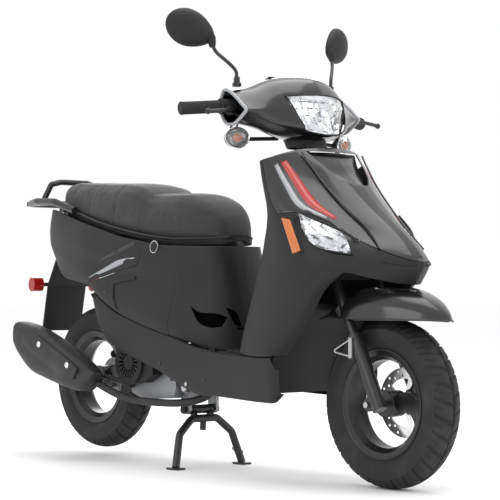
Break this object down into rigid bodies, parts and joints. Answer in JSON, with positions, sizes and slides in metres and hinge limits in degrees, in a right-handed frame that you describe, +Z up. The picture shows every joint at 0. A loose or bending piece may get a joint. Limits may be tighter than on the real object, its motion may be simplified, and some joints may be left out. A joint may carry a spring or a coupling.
{
  "type": "moped scooter",
  "caption": "Step-through moped scooter on its centre stand, with steering, sprung fork, swinging power unit, lifting seat and folding stand",
  "frame": {"origin": "on the ground, halfway along and across the overall length", "axes": "+X forward, +Y the rider's left, +Z up"},
  "size_m": [1.81, 0.6774, 1.25],
  "materials": {
    "black_gloss_panel": "gloss black painted plastic",
    "dark_matte_panel": "fine-textured matt black plastic",
    "black_trim": "plain black moulded plastic",
    "black_frame": "satin black paint on steel",
    "exhaust_black": "matt heat-proof black paint",
    "fork_black": "satin black paint",
    "polished_steel": "polished hard chrome",
    "zinc_steel": "bright zinc-plated steel",
    "engine_alloy": "as-cast aluminium",
    "wheel_black": "satin black paint on cast alloy",
    "tyre_rubber": "tyre rubber",
    "grip_rubber": "ribbed black rubber",
    "seat_vinyl": "grained black vinyl",
    "clear_lens": "clear polycarbonate over a bright reflector",
    "amber_lens": "amber prismatic plastic",
    "red_lens": "red prismatic plastic",
    "mirror_glass": "silvered glass in a black shell",
    "spring_steel": "painted spring steel"
  },
  "bodies": {
    "chassis": {"frame": "black_frame", "bearings_and_pivot_bolts": "zinc_steel", "front_cover": "black_gloss_panel", "nose_cover": "dark_matte_panel", "leg_shield": "dark_matte_panel", "wheel_liner": "black_trim", "side_skirts": "dark_matte_panel", "floor_panel": "dark_matte_panel", "battery_and_horn": "black_trim", "under_seat_cover": "dark_matte_panel", "side_cover_right": "dark_matte_panel", "side_cover_left": "dark_matte_panel", "tail_cover_right": "dark_matte_panel", "tail_cover_left": "dark_matte_panel", "rear_lamps": "red_lens", "rear_mudguard": "black_trim", "apron_lamps": "amber_lens", "storage_bucket": "black_trim", "fuel_tank": "black_trim", "grab_rail": "black_frame", "bag_hook_and_screws": "zinc_steel"},
    "tank_cap": {"fuel_cap": "black_trim"},
    "seat": {"seat_base": "black_trim", "seat_cushion": "seat_vinyl"},
    "lock": {"ignition_lock": "zinc_steel"},
    "steering": {"steering_stem": "black_frame", "handlebar": "black_frame", "left_grip": "grip_rubber", "control_housings": "black_trim", "handlebar_cowl": "black_gloss_panel", "headlight": "clear_lens", "instruments": "black_trim", "front_turn_lamps": "clear_lens", "front_mudguard": "black_gloss_panel"},
    "throttle": {"throttle_grip": "grip_rubber"},
    "lever_right": {"brake_lever_right": "black_frame"},
    "lever_left": {"brake_lever_left": "black_frame"},
    "starter": {"starter_button": "black_trim"},
    "horn_switch": {"horn_button": "black_trim"},
    "turn_slider": {"turn_switch": "black_trim"},
    "mirror_arm_right": {"mirror_right": "mirror_glass"},
    "mirror_arm_left": {"mirror_left": "mirror_glass"},
    "fork_lower": {"fork_sliders": "fork_black", "axle_and_cable_guide": "zinc_steel", "brake_caliper": "fork_black"},
    "front_wheel": {"front_rim": "wheel_black", "front_tyre": "tyre_rubber", "brake_disc": "polished_steel"},
    "power_unit": {"engine_case": "engine_alloy", "filter_box_and_pins": "black_trim", "fan_cover": "black_trim", "exhaust": "exhaust_black"},
    "fan": {"cooling_fan": "black_trim"},
    "kick": {"kick_starter": "zinc_steel"},
    "rear_wheel": {"rear_rim": "wheel_black", "rear_tyre": "tyre_rubber"},
    "stand": {"centre_stand": "black_frame"},
    "shock_upper": {"shock_body": "black_frame", "shock_spring": "spring_steel"},
    "shock_lower": {"shock_rod": "polished_steel"}
  },
  "joints": [
    {"name": "steer", "type": "hinge", "parent": "chassis", "child": "steering", "pos_m": [0.69363, 0, 0.20885], "axis": [-0.4462, 0, 0.8949], "range_deg": [-38, 38]},
    {"name": "fork_travel", "type": "slide", "parent": "steering", "child": "fork_lower", "axis": [-0.4462, 0, 0.8949], "range_m": [0, 0.05], "stiffness_N_per_m": 9000, "springref_m": -0.05},
    {"name": "front_wheel_spin", "type": "hinge", "parent": "fork_lower", "child": "front_wheel", "pos_m": [0.689, 0, 0.216], "axis": [0, 1, 0], "continuous": true},
    {"name": "seat_lift", "type": "hinge", "parent": "chassis", "child": "seat", "pos_m": [0.09, 0, 0.636], "axis": [0, 1, 0], "range_deg": [0, 60]},
    {"name": "tank_cap_turn", "type": "hinge", "parent": "chassis", "child": "tank_cap", "pos_m": [-0.47, 0, 0.668], "axis": [0, 0, 1], "range_deg": [0, 90]},
    {"name": "lock_turn", "type": "hinge", "parent": "chassis", "child": "lock", "pos_m": [0.41, -0.11, 0.78], "axis": [-0.9635, 0, -0.2676], "range_deg": [0, 90]},
    {"name": "throttle_twist", "type": "hinge", "parent": "steering", "child": "throttle", "pos_m": [0.277, -0.208, 0.993], "axis": [-0.2963, -0.9512, -0.0858], "range_deg": [0, 75], "stiffness_Nm_per_rad": 0.4},
    {"name": "brake_right", "type": "hinge", "parent": "steering", "child": "lever_right", "pos_m": [0.304, -0.213, 0.979], "axis": [-0.0499, 0, -0.9988], "range_deg": [0, 14], "stiffness_Nm_per_rad": 4, "springref_deg": -5.73},
    {"name": "brake_left", "type": "hinge", "parent": "steering", "child": "lever_left", "pos_m": [0.304, 0.213, 0.979], "axis": [0.0499, 0, 0.9988], "range_deg": [0, 14], "stiffness_Nm_per_rad": 4, "springref_deg": -5.73},
    {"name": "starter_push", "type": "slide", "parent": "steering", "child": "starter", "axis": [0.855, -0.2241, -0.4677], "range_m": [0, 0.002], "stiffness_N_per_m": 400, "springref_m": -0.001},
    {"name": "horn_push", "type": "slide", "parent": "steering", "child": "horn_switch", "axis": [0.9489, 0.3034, 0.0868], "range_m": [0, 0.002], "stiffness_N_per_m": 400, "springref_m": -0.001},
    {"name": "turn_slide", "type": "slide", "parent": "steering", "child": "turn_slider", "axis": [-0.2963, 0.9512, -0.0858], "range_m": [-0.004, 0.004]},
    {"name": "mirror_right_swivel", "type": "hinge", "parent": "steering", "child": "mirror_arm_right", "pos_m": [0.283, -0.172, 1.048], "axis": [0, 0, 1], "range_deg": [-20, 20]},
    {"name": "mirror_left_swivel", "type": "hinge", "parent": "steering", "child": "mirror_arm_left", "pos_m": [0.283, 0.172, 1.048], "axis": [0, 0, 1], "range_deg": [-20, 20]},
    {"name": "engine_swing", "type": "hinge", "parent": "chassis", "child": "power_unit", "pos_m": [-0.06, 0, 0.228], "axis": [0, 1, 0], "range_deg": [0, 8], "stiffness_Nm_per_rad": 2500, "springref_deg": -2.86},
    {"name": "rear_wheel_spin", "type": "hinge", "parent": "power_unit", "child": "rear_wheel", "pos_m": [-0.549, 0, 0.24], "axis": [0, 1, 0], "continuous": true},
    {"name": "fan_spin", "type": "hinge", "parent": "power_unit", "child": "fan", "pos_m": [-0.257, 0, 0.296], "axis": [0, 1, 0], "continuous": true},
    {"name": "kick_push", "type": "hinge", "parent": "power_unit", "child": "kick", "pos_m": [-0.33, 0.118, 0.262], "axis": [0, -1, 0], "range_deg": [0, 50], "stiffness_Nm_per_rad": 3, "springref_deg": -11.46},
    {"name": "stand_fold", "type": "hinge", "parent": "power_unit", "child": "stand", "pos_m": [-0.085, 0, 0.163], "axis": [0, 1, 0], "range_deg": [0, 85], "stiffness_Nm_per_rad": 2, "springref_deg": -11.46},
    {"name": "shock_tilt", "type": "hinge", "parent": "chassis", "child": "shock_upper", "pos_m": [-0.575, 0.088, 0.632], "axis": [0, 1, 0], "range_deg": [-2.08, 0]},
    {"name": "shock_stroke", "type": "slide", "parent": "shock_upper", "child": "shock_lower", "axis": [0.0765, 0, 0.9971], "range_m": [0, 0.07539], "deforming": ["shock_spring"]}
  ],
  "couplings": [
    {"joint": "shock_tilt", "follows": "engine_swing", "ratio": -0.257},
    {"joint": "shock_stroke", "follows": "engine_swing", "m_per_rad": 0.53854}
  ]
}
